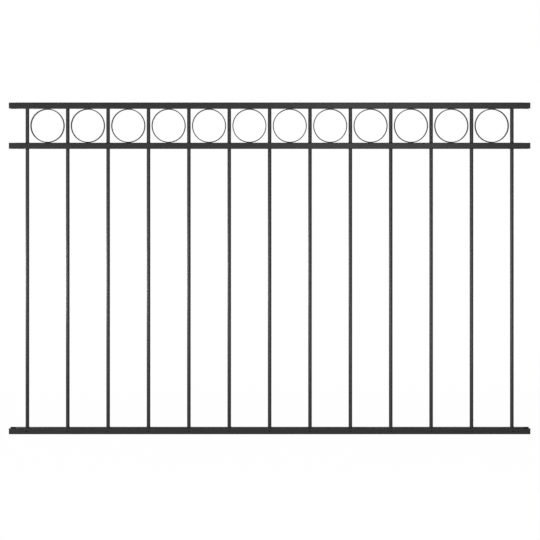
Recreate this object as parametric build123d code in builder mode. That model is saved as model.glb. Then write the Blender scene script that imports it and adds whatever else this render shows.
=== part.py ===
"""Steel picket fence panel: three tubular rails with end sockets, round tube pickets and strip rings.

Millimetres, +Z up. X runs along the rails, and -Y is the front, which carries the locking screws.
The origin is the middle of the bottom rail's underside.
"""

import os

from build123d import *

# Driving dimensions

picket_count = 13
picket_diameter = 12.0
picket_wall = 1.0

ring_diameter = 111.0  # outside
ring_thickness = 3.0
ring_depth = 10.0  # width of the strip, front to back
ring_side_gap = 4.5  # clear space between a ring and the picket beside it
ring_weld_gap = 0.1  # between a ring and the rail that it is welded to

panel_height = 1082.0
end_overhang = 58.0  # from the last picket's axis to the end of the panel

rail_depth = 25.0  # front to back
rail_height = 20.0
rail_wall = 1.2
rail_corner_radius = 2.4  # outside corners of the tube
end_socket_length = 39.0  # socket butted on each end of a rail, for the tongue of a post bracket
end_slot_length = 22.5  # slot that opens a socket's walls from its outer end
seam_chamfer = 0.3  # round a socket where it meets its rail

picket_hole_clearance = 0.15  # all round a picket where it enters the upper rails
picket_foot_clearance = 0.8  # all round a picket where it drops into the bottom rail
picket_head_clearance = 0.3  # between a picket's top and the inside of the top rail
screw_hole_diameter = 4.2  # for the screw that locks a picket's foot

# Sizes and places that follow from them

picket_pitch = ring_diameter + 2 * ring_side_gap + picket_diameter
panel_width = (picket_count - 1) * picket_pitch + 2 * end_overhang
rail_length = panel_width - 2 * end_socket_length
ring_count = picket_count - 1

ring_band_height = ring_diameter + 2 * ring_weld_gap
bottom_rail_z = rail_height / 2
top_rail_z = panel_height - rail_height / 2
middle_rail_z = top_rail_z - rail_height - ring_band_height
ring_z = (top_rail_z + middle_rail_z) / 2

rail_inner_depth = rail_depth - 2 * rail_wall
rail_inner_height = rail_height - 2 * rail_wall
rail_inner_radius = max(rail_corner_radius - rail_wall, rail_wall / 4)
rail_wall_offset = (rail_height - rail_wall) / 2  # from a rail's axis to the middle of its upper wall
punch_height = 2 * rail_wall

picket_foot_z = rail_wall
picket_head_z = panel_height - rail_wall - picket_head_clearance
picket_length = picket_head_z - picket_foot_z


def picket_x(index):
    return (index - (picket_count - 1) / 2) * picket_pitch


def ring_x(index):
    return (index - (ring_count - 1) / 2) * picket_pitch


def draw_rail_section(centre_z):
    with Locations((0, centre_z)):
        RectangleRounded(rail_depth, rail_height, rail_corner_radius)
        RectangleRounded(rail_inner_depth, rail_inner_height, rail_inner_radius, mode=Mode.SUBTRACT)


def make_rail(name, centre_z, picket_walls, clearance, locks_pickets=False):
    """A rectangular tube, with picket holes punched through the walls that are named.

    A wall is +1 for the upper one and -1 for the lower one. The clearance is the gap round a picket
    in its hole. A rail that locks the pickets has a screw hole in front of each one.
    """
    with BuildPart() as rail:
        with BuildSketch(Plane.YZ.offset(-rail_length / 2)):
            draw_rail_section(centre_z)
        extrude(amount=rail_length)

        for wall in picket_walls:
            wall_z = centre_z + wall * rail_wall_offset
            with Locations([(picket_x(i), 0, wall_z) for i in range(picket_count)]):
                Cylinder(picket_diameter / 2 + clearance, punch_height, mode=Mode.SUBTRACT)
        if locks_pickets:
            front_y = (rail_wall - rail_depth) / 2
            with Locations([(picket_x(i), front_y, centre_z) for i in range(picket_count)]):
                Cylinder(
                    screw_hole_diameter / 2, punch_height, rotation=(90, 0, 0), mode=Mode.SUBTRACT
                )

    rail.part.label = name
    return rail.part


def make_end_socket(name, side, centre_z, slotted_walls):
    """A short tube of the rail's section, butted on the end of a rail, whose named walls are slotted.

    Side is -1 for the left end and +1 for the right one, and walls are as in a rail. The slots leave
    only the front and back walls at the outer end.
    """
    joint_x = side * rail_length / 2
    slot_x = side * (panel_width - end_slot_length) / 2
    with BuildPart() as socket:
        with BuildSketch(Plane.YZ.offset(joint_x)):
            draw_rail_section(centre_z)
        extrude(amount=side * end_socket_length)
        joint_face = socket.faces().sort_by(Axis((0, 0, 0), (side, 0, 0)))[0]
        chamfer(joint_face.outer_wire().edges(), seam_chamfer)

        for wall in slotted_walls:
            with Locations((slot_x, 0, centre_z + wall * rail_wall_offset)):
                Box(end_slot_length, rail_inner_depth, punch_height, mode=Mode.SUBTRACT)

    socket.part.label = name
    return socket.part


def make_picket(index):
    """A round tube that stands on the floor of the bottom rail and reaches up into the top rail."""
    with BuildPart() as picket:
        with BuildSketch(Plane.XY.offset(picket_foot_z)):
            with Locations((picket_x(index), 0)):
                Circle(picket_diameter / 2)
                Circle(picket_diameter / 2 - picket_wall, mode=Mode.SUBTRACT)
        extrude(amount=picket_length)

    picket.part.label = f"picket_{index + 1:02d}"
    return picket.part


def make_ring(index):
    """Flat strip rolled on edge into a circle, between two pickets and the two upper rails."""
    with BuildPart() as ring:
        with BuildSketch(Plane.XZ.offset(-ring_depth / 2)):
            with Locations((ring_x(index), ring_z)):
                Circle(ring_diameter / 2)
                Circle(ring_diameter / 2 - ring_thickness, mode=Mode.SUBTRACT)
        extrude(amount=ring_depth)

    ring.part.label = f"ring_{index + 1:02d}"
    return ring.part


pieces = [
    make_rail("top_rail", top_rail_z, [-1], picket_hole_clearance),
    make_rail("middle_rail", middle_rail_z, [+1, -1], picket_hole_clearance),
    make_rail("bottom_rail", bottom_rail_z, [+1], picket_foot_clearance, locks_pickets=True),
]
for side_name, side in (("left", -1), ("right", +1)):
    pieces += [
        make_end_socket(f"top_rail_{side_name}_end", side, top_rail_z, slotted_walls=[+1, -1]),
        make_end_socket(f"middle_rail_{side_name}_end", side, middle_rail_z, slotted_walls=[+1, -1]),
        make_end_socket(f"bottom_rail_{side_name}_end", side, bottom_rail_z, slotted_walls=[+1]),
    ]
pieces += [make_picket(i) for i in range(picket_count)]
pieces += [make_ring(i) for i in range(ring_count)]

os.makedirs("parts", exist_ok=True)
for piece in pieces:
    export_step(piece, f"parts/{piece.label}.step")
print(f"panel {panel_width:.1f} wide, {panel_height:.1f} high, pickets {picket_pitch:.1f} apart")
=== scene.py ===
import math

import bmesh
import bpy
import numpy as np
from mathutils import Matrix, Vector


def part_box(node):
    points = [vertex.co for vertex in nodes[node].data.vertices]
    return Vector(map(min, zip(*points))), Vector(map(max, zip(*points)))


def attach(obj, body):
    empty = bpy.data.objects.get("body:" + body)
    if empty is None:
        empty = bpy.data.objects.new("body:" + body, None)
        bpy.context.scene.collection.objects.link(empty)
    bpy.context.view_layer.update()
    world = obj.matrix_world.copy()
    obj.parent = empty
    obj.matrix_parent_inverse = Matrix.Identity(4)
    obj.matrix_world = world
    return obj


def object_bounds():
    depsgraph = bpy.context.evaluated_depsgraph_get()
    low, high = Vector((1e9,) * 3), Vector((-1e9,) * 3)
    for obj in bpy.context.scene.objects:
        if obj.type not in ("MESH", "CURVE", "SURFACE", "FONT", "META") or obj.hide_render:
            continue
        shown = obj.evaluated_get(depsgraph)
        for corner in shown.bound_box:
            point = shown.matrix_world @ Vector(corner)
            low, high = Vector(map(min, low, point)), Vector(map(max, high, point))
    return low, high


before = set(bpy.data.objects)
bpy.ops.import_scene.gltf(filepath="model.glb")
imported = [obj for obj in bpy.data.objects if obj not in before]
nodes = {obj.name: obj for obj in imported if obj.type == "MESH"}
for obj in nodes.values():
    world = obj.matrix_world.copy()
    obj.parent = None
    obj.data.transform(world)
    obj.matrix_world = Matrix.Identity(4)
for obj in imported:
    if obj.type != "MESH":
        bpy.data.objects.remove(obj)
cadLow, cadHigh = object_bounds()
print("frame loaded:", len(nodes), "nodes")

# Places that the other pieces are set by, all read from the frame
picketNames = sorted(n for n in nodes if n.startswith("picket_"))
ringNames = sorted(n for n in nodes if n.startswith("ring_"))
railNames = ["top_rail", "middle_rail", "bottom_rail"]
picketBoxes = np.array([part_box(n) for n in picketNames])
ringBoxes = np.array([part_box(n) for n in ringNames])
railBoxes = {n: np.array(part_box(n)) for n in railNames}
picketX = picketBoxes[:, :, 0].mean(axis=1)
ringX = ringBoxes[:, :, 0].mean(axis=1)
picketRadius = np.ptp(picketBoxes[0, :, 0]) / 2
frontY = railBoxes["bottom_rail"][0, 1]
panelWidth = cadHigh.x - cadLow.x


# Nodes and links

def addNode(tree, kind, **values):
    node = tree.nodes.new(kind)
    for key, value in values.items():
        setattr(node, key, value)
    return node


# Sets a node's inputs, by name or by number, from values or from other sockets
def feed(tree, target, sources):
    for key, source in sources.items():
        if isinstance(source, bpy.types.NodeSocket):
            tree.links.new(source, target.inputs[key])
        else:
            target.inputs[key].default_value = source
    return target


def calc(tree, operation, *terms):
    node = addNode(tree, "ShaderNodeMath", operation=operation)
    return feed(tree, node, dict(enumerate(terms))).outputs[0]


def ramp(tree, value, low, high, outLow=0.0, outHigh=1.0):
    node = addNode(tree, "ShaderNodeMapRange", interpolation_type="SMOOTHSTEP")
    limits = {"From Min": low, "From Max": high, "To Min": outLow, "To Max": outHigh}
    return feed(tree, node, {"Value": value, **limits}).outputs[0]


def noise(tree, coords, scale, detail=2.0):
    node = addNode(tree, "ShaderNodeTexNoise")
    return feed(tree, node, {"Vector": coords, "Scale": scale, "Detail": detail}).outputs[0]


# The Mix node's colour sockets are reached by number, as their names repeat for each data type
def mixColor(tree, factor, first, second):
    node = addNode(tree, "ShaderNodeMix", data_type="RGBA")
    return feed(tree, node, {0: factor, 6: first, 7: second}).outputs[2]


def newGroup(name, inputs, outputs):
    group = bpy.data.node_groups.new(name, "ShaderNodeTree")
    for label, kind in inputs.items():
        group.interface.new_socket(name=label, in_out="INPUT", socket_type="NodeSocket" + kind)
    for label, kind in outputs.items():
        group.interface.new_socket(name=label, in_out="OUTPUT", socket_type="NodeSocket" + kind)
    return group, addNode(group, "NodeGroupInput"), addNode(group, "NodeGroupOutput")


# Powder grain: a fine orange peel for the height, a speckle of pigment and slow clouds for colour and gloss
grainLook = {"speckleEdges": (0.40, 0.72), "cloudScale": 7.0, "speckleShare": 0.55, "cloudShare": 0.45,
             "glossFromClouds": 0.6, "glossFromPeel": 0.4, "glossEdges": (0.25, 0.75)}


def makePowderGrain(look):
    group, into, out = newGroup(
        "powderGrain",
        {"Coords": "Vector", "Coat": "Color", "Light Coat": "Color", "Peel": "Float", "Speckle": "Float",
         "Gloss Low": "Float", "Gloss High": "Float"},
        {"Color": "Color", "Roughness": "Float", "Height": "Float"},
    )
    coords = into.outputs["Coords"]
    peel = noise(group, coords, into.outputs["Peel"], 3.0)
    speckle = ramp(group, noise(group, coords, into.outputs["Speckle"], 1.0), *look["speckleEdges"])
    clouds = noise(group, coords, look["cloudScale"], 3.0)
    shade = calc(group, "ADD", calc(group, "MULTIPLY", speckle, look["speckleShare"]),
                 calc(group, "MULTIPLY", clouds, look["cloudShare"]))
    color = mixColor(group, shade, into.outputs["Coat"], into.outputs["Light Coat"])
    glossMix = calc(group, "ADD", calc(group, "MULTIPLY", clouds, look["glossFromClouds"]),
                    calc(group, "MULTIPLY", peel, look["glossFromPeel"]))
    gloss = ramp(group, glossMix, *look["glossEdges"], into.outputs["Gloss Low"], into.outputs["Gloss High"])
    feed(group, out, {"Color": color, "Roughness": gloss, "Height": peel})
    return group


# Settled dust: a thin pale film where the surface faces up, broken up by noise
dustLook = {"color": 0.20, "upEdges": (0.55, 0.98), "patchScale": 140.0, "patchEdges": (0.30, 0.75),
            "dulling": 0.25}


def makeSettledDust(look):
    group, into, out = newGroup(
        "settledDust",
        {"Coords": "Vector", "Color": "Color", "Roughness": "Float", "Dust": "Color", "Amount": "Float"},
        {"Color": "Color", "Roughness": "Float"},
    )
    normal = addNode(group, "ShaderNodeNewGeometry").outputs["Normal"]
    upward = feed(group, addNode(group, "ShaderNodeSeparateXYZ"), {"Vector": normal}).outputs["Z"]
    film = ramp(group, upward, *look["upEdges"])
    patches = ramp(group, noise(group, into.outputs["Coords"], look["patchScale"], 4.0), *look["patchEdges"])
    cover = calc(group, "MULTIPLY", calc(group, "MULTIPLY", film, patches), into.outputs["Amount"])
    color = mixColor(group, cover, into.outputs["Color"], into.outputs["Dust"])
    rough = calc(group, "ADD", into.outputs["Roughness"], calc(group, "MULTIPLY", cover, look["dulling"]))
    feed(group, out, {"Color": color, "Roughness": rough})
    return group


# Inside and seam shade: painted shade in a dull near-black colour where a surface looks at its rail's axis,
# inside the tube, and painted shade in the seam groove of the end sockets.
# A surface looks at the axis where its normal and its place across the rail point opposite ways.
insideAndSeamShadeLook = {"insideEdges": (0.0005, 0.003), "dulling": 0.45}


def makeInsideAndSeamShade(look):
    group, into, out = newGroup(
        "insideAndSeamShade",
        {"Coords": "Vector", "Color": "Color", "Roughness": "Float", "Painted Shade": "Color", "Axis Height": "Float",
         "Seam": "Float", "Seam Width": "Float"},
        {"Color": "Color", "Roughness": "Float"},
    )
    normal = addNode(group, "ShaderNodeNewGeometry").outputs["Normal"]
    facing = feed(group, addNode(group, "ShaderNodeSeparateXYZ"), {"Vector": normal}).outputs
    place = feed(group, addNode(group, "ShaderNodeSeparateXYZ"), {"Vector": into.outputs["Coords"]}).outputs
    above = calc(group, "SUBTRACT", place["Z"], into.outputs["Axis Height"])
    outward = calc(group, "ADD", calc(group, "MULTIPLY", facing["Y"], place["Y"]),
                   calc(group, "MULTIPLY", facing["Z"], above))
    inside = ramp(group, calc(group, "MULTIPLY", outward, -1.0), *look["insideEdges"])
    fromSeam = calc(group, "ABSOLUTE", calc(group, "SUBTRACT", calc(group, "ABSOLUTE", place["X"]),
                                            into.outputs["Seam"]))
    halfWidth = calc(group, "MULTIPLY", into.outputs["Seam Width"], 0.5)
    inSeam = calc(group, "LESS_THAN", fromSeam, halfWidth)
    cover = calc(group, "MAXIMUM", inside, inSeam)
    color = mixColor(group, cover, into.outputs["Color"], into.outputs["Painted Shade"])
    rough = calc(group, "ADD", into.outputs["Roughness"], calc(group, "MULTIPLY", cover, look["dulling"]))
    feed(group, out, {"Color": color, "Roughness": rough})
    return group


powderGrain = makePowderGrain(grainLook)
settledDust = makeSettledDust(dustLook)
insideAndSeamShade = makeInsideAndSeamShade(insideAndSeamShadeLook)

# The near-black colour given to a rail is painted shade, inside the tube and in the seam of its end sockets
railLook = {"coat": 0.015, "light": 0.019, "peel": 620.0, "speckle": 2100.0, "gloss": (0.31, 0.37),
            "bump": 0.000005, "dust": 0.02, "specular": 0.06, "paintedShade": 0.0015, "seamWidth": 0.0006}
coats = {
    "topRailCoat": {**railLook, "rail": "top_rail"},
    "middleRailCoat": {**railLook, "rail": "middle_rail"},
    "bottomRailCoat": {**railLook, "rail": "bottom_rail"},
    "picketCoat": {"coat": 0.014, "light": 0.017, "peel": 700.0, "speckle": 2300.0, "gloss": (0.28, 0.33),
                   "bump": 0.000005, "dust": 0.0, "specular": 0.12},
    "ringCoat": {"coat": 0.014, "light": 0.018, "peel": 760.0, "speckle": 2300.0, "gloss": (0.33, 0.40),
                 "bump": 0.000005, "dust": 0.01, "specular": 0.10},
    "jointCoat": {"coat": 0.014, "light": 0.017, "peel": 900.0, "speckle": 2300.0, "gloss": (0.36, 0.46),
                  "bump": 0.000010, "dust": 0.01, "specular": 0.06},
}


def grey(level):
    return (level, level, level * 1.02, 1.0)


# Satin powder coat: grain, then dust, then on a rail the painted shade inside it and in its end-socket seam,
# then a bump of the peel
def makeCoat(name, look):
    material = bpy.data.materials.new(name)
    material.use_nodes = True
    tree = material.node_tree
    shader = tree.nodes["Principled BSDF"]
    coords = addNode(tree, "ShaderNodeTexCoord").outputs["Object"]
    grain = addNode(tree, "ShaderNodeGroup", node_tree=powderGrain)
    feed(tree, grain, {"Coords": coords, "Coat": grey(look["coat"]), "Light Coat": grey(look["light"]),
                       "Peel": look["peel"], "Speckle": look["speckle"],
                       "Gloss Low": look["gloss"][0], "Gloss High": look["gloss"][1]})
    dust = addNode(tree, "ShaderNodeGroup", node_tree=settledDust)
    feed(tree, dust, {"Coords": coords, "Color": grain.outputs["Color"], "Dust": grey(dustLook["color"]),
                      "Roughness": grain.outputs["Roughness"], "Amount": look["dust"]})
    lastLayer = dust
    # On a rail, painted shade darkens the inside of the tube and the seam of the end sockets
    if "rail" in look:
        box = railBoxes[look["rail"]]
        lastLayer = addNode(tree, "ShaderNodeGroup", node_tree=insideAndSeamShade)
        feed(tree, lastLayer, {"Coords": coords, "Color": dust.outputs["Color"],
                            "Roughness": dust.outputs["Roughness"], "Painted Shade": grey(look["paintedShade"]),
                            "Axis Height": box[:, 2].mean(), "Seam": box[1, 0], "Seam Width": look["seamWidth"]})
    bump = addNode(tree, "ShaderNodeBump")
    feed(tree, bump, {"Height": grain.outputs["Height"], "Distance": look["bump"]})
    feed(tree, shader, {"Base Color": lastLayer.outputs["Color"], "Roughness": lastLayer.outputs["Roughness"],
                        "Normal": bump.outputs["Normal"], "Specular IOR Level": look["specular"]})
    return material


materials = {name: makeCoat(name, look) for name, look in coats.items()}


# Screw steel: blackened, and darker still as painted shade of the screw's sunk hole; duller than the coat, with
# fine worn marks
screwSteelAndShade = {"steelAndShade": 0.003, "worn": 0.006, "markScale": 1800.0, "wornEdges": (0.45, 0.75),
               "roughEdges": (0.3, 0.7), "rough": (0.48, 0.62), "bump": 0.00001, "specular": 0.06}


def makeScrewSteel(look):
    material = bpy.data.materials.new("screwSteel")
    material.use_nodes = True
    tree = material.node_tree
    shader = tree.nodes["Principled BSDF"]
    coords = addNode(tree, "ShaderNodeTexCoord").outputs["Object"]
    marks = noise(tree, coords, look["markScale"], 3.0)
    color = mixColor(tree, ramp(tree, marks, *look["wornEdges"]), grey(look["steelAndShade"]), grey(look["worn"]))
    gloss = ramp(tree, marks, *look["roughEdges"], *look["rough"])
    bump = addNode(tree, "ShaderNodeBump")
    feed(tree, bump, {"Height": marks, "Distance": look["bump"]})
    feed(tree, shader, {"Base Color": color, "Roughness": gloss, "Normal": bump.outputs["Normal"],
                        "Specular IOR Level": look["specular"]})
    return material


materials["screwSteel"] = makeScrewSteel(screwSteelAndShade)

coated = {"picketCoat": picketNames, "ringCoat": ringNames}
for coat, look in coats.items():
    if "rail" in look:
        coated[coat] = [n for n in nodes if n.startswith(look["rail"])]
for coat, names in coated.items():
    for name in names:
        slots = nodes[name].data.materials
        slots.clear()
        slots.append(materials[coat])
print("coats given to", len(nodes), "nodes")


# Meshes from grids

# Quads of a rows x cols grid, repeated for each copy; a closed direction joins its last line to its first
def gridFaces(copies, rows, cols, closeRows, closeCols):
    row = np.arange(rows if closeRows else rows - 1)[:, None]
    col = np.arange(cols if closeCols else cols - 1)[None, :]
    nextRow = (row + 1) % rows
    nextCol = (col + 1) % cols
    corners = (row * cols + col, row * cols + nextCol, nextRow * cols + nextCol, nextRow * cols + col)
    quads = np.stack(np.broadcast_arrays(*corners), axis=-1).reshape(-1, 4)
    shift = np.arange(copies)[:, None, None] * rows * cols
    return (quads[None] + shift).reshape(-1, 4)


# A piece from points of shape (copies, rows, cols, 3); poles are merged and normals turned outwards
def gridPiece(name, points, coat, closeRows=False, closeCols=True, sharpAngle=35.0):
    copies, rows, cols, _ = points.shape
    mesh = bpy.data.meshes.new(name)
    faces = gridFaces(copies, rows, cols, closeRows, closeCols)
    mesh.from_pydata(points.reshape(-1, 3).tolist(), [], faces.tolist())
    work = bmesh.new()
    work.from_mesh(mesh)
    bmesh.ops.remove_doubles(work, verts=work.verts, dist=1e-7)
    bmesh.ops.recalc_face_normals(work, faces=work.faces)
    work.to_mesh(mesh)
    work.free()
    mesh.polygons.foreach_set("use_smooth", np.ones(len(mesh.polygons), dtype=bool))
    mesh.set_sharp_from_angle(angle=math.radians(sharpAngle))
    mesh.materials.append(materials[coat])
    piece = bpy.data.objects.new(name, mesh)
    bpy.context.scene.collection.objects.link(piece)
    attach(piece, "root")
    print(name, "made:", len(mesh.polygons), "faces")
    return piece


# Joint fillets: coat and weld drawn into the corner where a picket meets one of the upper rails.
# Revolved about the picket: a quarter circle, hollow side out, from the picket down to the rail,
# closed through a corner point just inside both.
filletLook = {"leg": 0.0012, "sunk": 0.0002, "arcSteps": 7, "around": 48}


def makeFillets(look):
    faces = [("top_rail", 0, -1), ("middle_rail", 1, 1), ("middle_rail", 0, -1)]
    heights = np.array([railBoxes[name][side, 2] for name, side, _ in faces])
    ups = np.array([up for _, _, up in faces])
    turn = np.linspace(0, math.pi / 2, look["arcSteps"])
    radius = picketRadius + look["leg"] * (1 - np.cos(turn))
    rise = look["leg"] * (1 - np.sin(turn))
    radius = np.concatenate([radius, [radius[-1], picketRadius - look["sunk"], picketRadius - look["sunk"]]])
    rise = np.concatenate([rise, [-look["sunk"], -look["sunk"], rise[0]]])
    angle = np.linspace(0, 2 * math.pi, look["around"], endpoint=False)
    x = picketX[:, None, None, None] + radius[:, None] * np.cos(angle)
    y = np.broadcast_to(radius[:, None] * np.sin(angle), (1, 1, len(radius), len(angle)))
    z = heights[None, :, None, None] + ups[None, :, None, None] * rise[:, None]
    grid = np.stack(np.broadcast_arrays(x, y, z), axis=-1)
    return gridPiece("jointFillets", grid.reshape(-1, *grid.shape[2:]), "jointCoat", closeRows=True)


makeFillets(filletLook)


# Ring welds: a short bead on the front and on the back edge of each strip, where it meets a rail.
# Carried along X: a quarter round that swells to its full leg in the middle, tapers to a point at both ends
# and carries a small ripple, closed through the corner between the strip and the rail.
weldLook = {"length": 0.013, "leg": 0.0019, "ripple": 0.07, "ripples": 7.0, "sunk": 0.0002,
            "steps": 33, "arcSteps": 8}


def makeRingWelds(look):
    along = np.linspace(-1, 1, look["steps"])
    swell = np.sqrt(np.clip(1 - along ** 4, 0, None))
    leg = look["leg"] * swell * (1 + look["ripple"] * np.cos(along * math.pi * look["ripples"]))
    turn = np.linspace(0, math.pi / 2, look["arcSteps"])
    out = np.concatenate([np.cos(turn), [0.0]])
    rise = np.concatenate([np.sin(turn), [0.0]])
    sink = np.concatenate([np.zeros(len(turn)), [look["sunk"]]])
    edges = ringBoxes[0, :, 1]
    ends = ringBoxes[0, :, 2]
    outward = np.array([-1.0, 1.0])
    x = ringX[:, None, None, None, None] + (along * look["length"] / 2)[:, None]
    y = edges[None, :, None, None, None] + outward[None, :, None, None, None] * (leg[:, None] * out - sink)
    inward = -outward
    z = ends[None, None, :, None, None] + inward[None, None, :, None, None] * (leg[:, None] * rise - sink)
    grid = np.stack(np.broadcast_arrays(x, y, z), axis=-1)
    return gridPiece("ringWelds", grid.reshape(-1, *grid.shape[3:]), "jointCoat", sharpAngle=50.0)


makeRingWelds(weldLook)


# Locking screws: a socket set screw in each hole of the bottom rail, sunk a little and close to its
# picket's foot. Revolved about an axis along Y: a flat point, a thread whose radius dips once a pitch and
# turns with the angle, a chamfered head and, for the hexagon socket, rows with a radius of
# apothem / cos(angle from the nearest flat).
screwLook = {"diameter": 0.0040, "pitch": 0.0007, "threadDepth": 0.00022, "sunk": 0.0013, "chamfer": 0.0003,
             "acrossFlats": 0.0020, "socketDepth": 0.0016, "pointRadius": 0.0014, "gap": 0.0001, "around": 36,
             "rowsPerPitch": 6}


def makeLockingScrews(look):
    outer = look["diameter"] / 2
    chamfer = look["chamfer"]
    head = frontY + look["sunk"]
    point = -picketRadius - look["gap"]
    threadStart = point - 2 * chamfer
    threadEnd = head + chamfer
    turns = (threadStart - threadEnd) / look["pitch"]
    threadRows = int(turns * look["rowsPerPitch"])
    threadY = np.linspace(threadStart, threadEnd, threadRows)
    angle = np.linspace(0, 2 * math.pi, look["around"], endpoint=False)
    phase = (threadStart - threadY)[:, None] / look["pitch"] - angle / (2 * math.pi)
    fade = np.clip(np.minimum(threadStart - threadY, threadY - threadEnd) / look["pitch"], 0, 1)[:, None]
    thread = outer - look["threadDepth"] * fade * (0.5 - 0.5 * np.cos(2 * math.pi * phase))
    sixth = math.pi / 3
    hexagon = look["acrossFlats"] / 2 / np.cos((angle + sixth / 2) % sixth - sixth / 2)
    bottom = head + look["socketDepth"]
    ones = np.ones_like(angle)
    radius = np.vstack([0 * ones, look["pointRadius"] * ones, thread, (outer - chamfer) * ones,
                        hexagon + 0.5 * chamfer, hexagon, hexagon, 0 * ones])
    socketRows = [head, head, head + 0.5 * chamfer, bottom, bottom + chamfer]
    depth = np.concatenate([[point, point], threadY, socketRows])
    middleZ = railBoxes["bottom_rail"][:, 2].mean()
    x = picketX[:, None, None] + radius * np.cos(angle)
    y = np.broadcast_to(depth[:, None], (len(picketX), *radius.shape))
    z = np.broadcast_to(middleZ + radius * np.sin(angle), y.shape)
    return gridPiece("lockingScrews", np.stack([x, y, z], axis=-1), "screwSteel")


makeLockingScrews(screwLook)


# Stage: a pale floor that is white away from the panel and keeps the panel's shadow close to it
stageLook = {"floorSize": 60.0, "floorColor": 0.92, "nearWhite": 0.98, "whiteFrom": 0.4, "whiteAt": 1.6}


# Rays that show the background: those of the camera, reflections and glass
def backgroundRays(tree):
    path = addNode(tree, "ShaderNodeLightPath").outputs
    seen = calc(tree, "ADD", path["Is Camera Ray"], path["Is Glossy Ray"])
    seen = calc(tree, "ADD", seen, path["Is Transmission Ray"])
    return calc(tree, "MINIMUM", seen, 1.0)


def makeFloor(look):
    half = look["floorSize"] / 2
    mesh = bpy.data.meshes.new("studioFloor")
    corners = np.array([(-1, -1, 0), (1, -1, 0), (1, 1, 0), (-1, 1, 0)]) * half
    mesh.from_pydata((corners + (0, 0, cadLow.z)).tolist(), [], [(0, 1, 2, 3)])
    floor = bpy.data.objects.new("studioFloor", mesh)
    bpy.context.scene.collection.objects.link(floor)
    material = bpy.data.materials.new("paleFloor")
    material.use_nodes = True
    tree = material.node_tree
    tree.nodes.remove(tree.nodes["Principled BSDF"])
    coords = addNode(tree, "ShaderNodeTexCoord").outputs["Object"]
    place = feed(tree, addNode(tree, "ShaderNodeSeparateXYZ"), {"Vector": coords}).outputs
    away = ramp(tree, calc(tree, "ABSOLUTE", place["Y"]), look["whiteFrom"], look["whiteAt"])
    beside = calc(tree, "SUBTRACT", calc(tree, "ABSOLUTE", place["X"]), panelWidth / 2)
    away = calc(tree, "MAXIMUM", away, ramp(tree, beside, look["whiteFrom"], look["whiteAt"]))
    white = calc(tree, "ADD", look["nearWhite"], calc(tree, "MULTIPLY", away, 1 - look["nearWhite"]))
    diffuse = addNode(tree, "ShaderNodeBsdfDiffuse")
    feed(tree, diffuse, {"Color": grey(look["floorColor"])})
    glow = addNode(tree, "ShaderNodeEmission")
    blend = addNode(tree, "ShaderNodeMixShader")
    factor = calc(tree, "MULTIPLY", white, backgroundRays(tree))
    feed(tree, blend, {0: factor, 1: diffuse.outputs[0], 2: glow.outputs[0]})
    feed(tree, tree.nodes["Material Output"], {"Surface": blend.outputs[0]})
    mesh.materials.append(material)


makeFloor(stageLook)

# Surroundings: a white band at eye level under a dim ceiling, and a soft fill that is stronger from behind
worldLook = {"fill": 0.33, "backFill": 1.1, "fillEdges": (0.2, 0.8), "ceiling": 0.15, "bandTop": 0.17,
             "ceilingFrom": 0.21}


def makeWorld(look):
    world = bpy.data.worlds.new("studioWorld")
    bpy.context.scene.world = world
    world.use_nodes = True
    tree = world.node_tree
    coords = addNode(tree, "ShaderNodeTexCoord").outputs["Generated"]
    heading = feed(tree, addNode(tree, "ShaderNodeSeparateXYZ"), {"Vector": coords}).outputs
    backdrop = ramp(tree, heading["Z"], look["bandTop"], look["ceilingFrom"], 1.0, look["ceiling"])
    fill = ramp(tree, heading["Y"], *look["fillEdges"], look["fill"], look["backFill"])
    extra = calc(tree, "MULTIPLY", backgroundRays(tree), calc(tree, "SUBTRACT", backdrop, fill))
    strength = calc(tree, "ADD", fill, extra)
    feed(tree, tree.nodes["Background"], {"Color": (1.0, 1.0, 1.0, 1.0), "Strength": strength})


makeWorld(worldLook)

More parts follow.
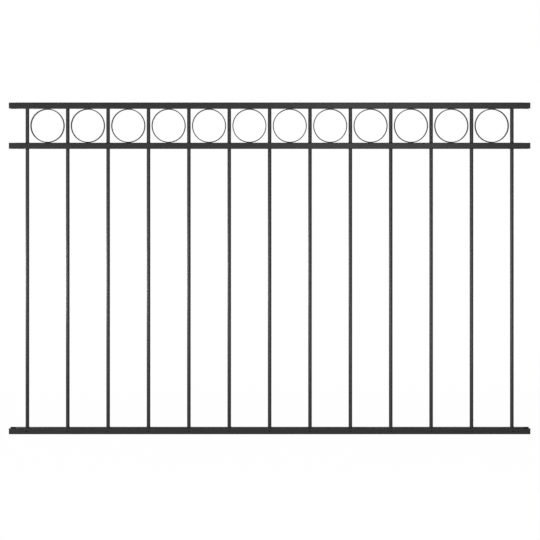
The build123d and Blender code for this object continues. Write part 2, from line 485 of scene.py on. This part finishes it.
# Lamps: long low strips at the left, a softbox by the camera and a weak fill for the feet
lampLook = {
    "leftStrip": {"place": (-2.4, -2.2, 0.30), "aim": (0.0, 0.0, 0.5), "size": (5.0, 0.4), "power": 138.0},
    "rightSoftbox": {"place": (0.8, -4.6, 1.2), "aim": (0.25, 0.0, 0.9), "size": (0.8, 0.5), "power": 73.0},
    "backStrip": {"place": (-2.6, 2.2, 0.25), "aim": (0.0, 0.0, 0.5), "size": (3.0, 0.4), "power": 38.0},
    "footFill": {"place": (0.5, -1.4, 0.12), "aim": (0.5, 0.0, 0.05), "size": (1.6, 0.12), "power": 9.0},
}


def aimAt(obj, target):
    direction = np.array(target) - np.array(obj.location)
    flat = math.hypot(direction[0], direction[1])
    obj.rotation_euler = (math.atan2(flat, -direction[2]), 0.0, math.atan2(-direction[0], direction[1]))


for name, look in lampLook.items():
    lamp = bpy.data.lights.new(name, "AREA")
    lamp.shape = "RECTANGLE"
    lamp.size, lamp.size_y = look["size"]
    lamp.energy = look["power"]
    holder = bpy.data.objects.new(name, lamp)
    holder.location = look["place"]
    aimAt(holder, look["aim"])
    bpy.context.scene.collection.objects.link(holder)
print("floor, world and", len(lampLook), "lamps placed")


# Camera: level, square to the panel, set by where the panel's front stands in the photograph
shot = {"frameSize": 540.0, "leftEnd": 8.8, "rightEnd": 530.45, "foot": 434.4, "lens": 76.7,
        "lensShift": -0.16}


def makeCamera(look):
    data = bpy.data.cameras.new("frontCamera")
    data.sensor_fit = "HORIZONTAL"
    data.lens = look["lens"]
    pixelsPerMetre = (look["rightEnd"] - look["leftEnd"]) / panelWidth
    lensPixels = data.lens / data.sensor_width * look["frameSize"]
    middle = look["frameSize"] / 2
    data.shift_x = (middle - (look["leftEnd"] + look["rightEnd"]) / 2) / look["frameSize"]
    data.shift_y = look["lensShift"]
    height = (look["foot"] - middle - data.shift_y * look["frameSize"]) / pixelsPerMetre
    camera = bpy.data.objects.new("frontCamera", data)
    camera.location = (0.0, frontY - lensPixels / pixelsPerMetre, height)
    camera.rotation_euler = (math.pi / 2, 0.0, 0.0)
    bpy.context.scene.collection.objects.link(camera)
    bpy.context.scene.camera = camera
    print("camera at", [round(value, 3) for value in camera.location])


makeCamera(shot)
bpy.context.scene.view_settings.view_transform = "Standard"
